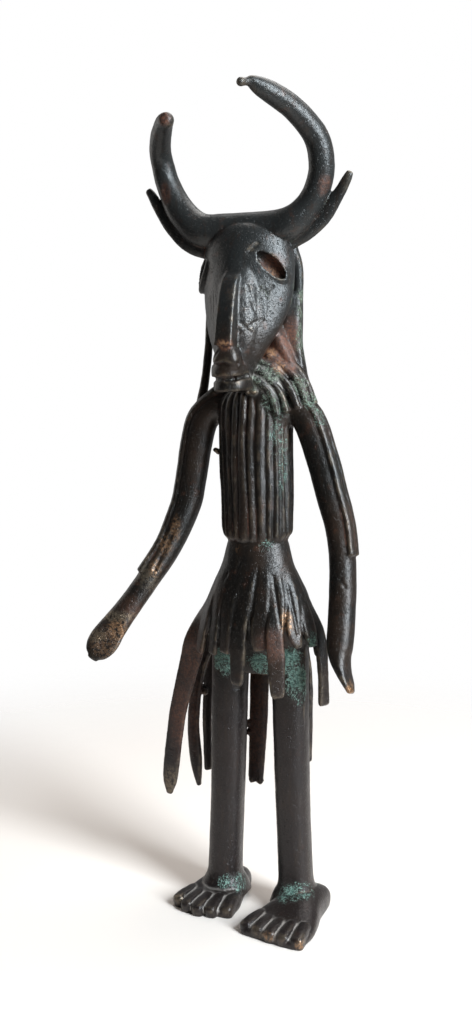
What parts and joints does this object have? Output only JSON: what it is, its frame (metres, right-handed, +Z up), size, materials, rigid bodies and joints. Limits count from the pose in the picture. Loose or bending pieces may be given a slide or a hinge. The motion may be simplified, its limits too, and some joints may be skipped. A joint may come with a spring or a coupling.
{
  "type": "ancient_and_tribal_figure",
  "caption": "Standing cast bronze figure of a dancer in a horned buffalo mask and a fringed strand costume, on two flat bare feet, used as a shelf or shrine figure",
  "frame": {"origin": "middle of the figure's bounding box, on the floor plane", "axes": "+Z up, the dancer faces -Y, its left side is +X"},
  "size_m": [0.108, 0.0582, 0.3192],
  "materials": {
    "dark_bronze": "satin"
  },
  "bodies": {
    "root": {"bronze_figure": "dark_bronze"}
  },
  "joints": []
}
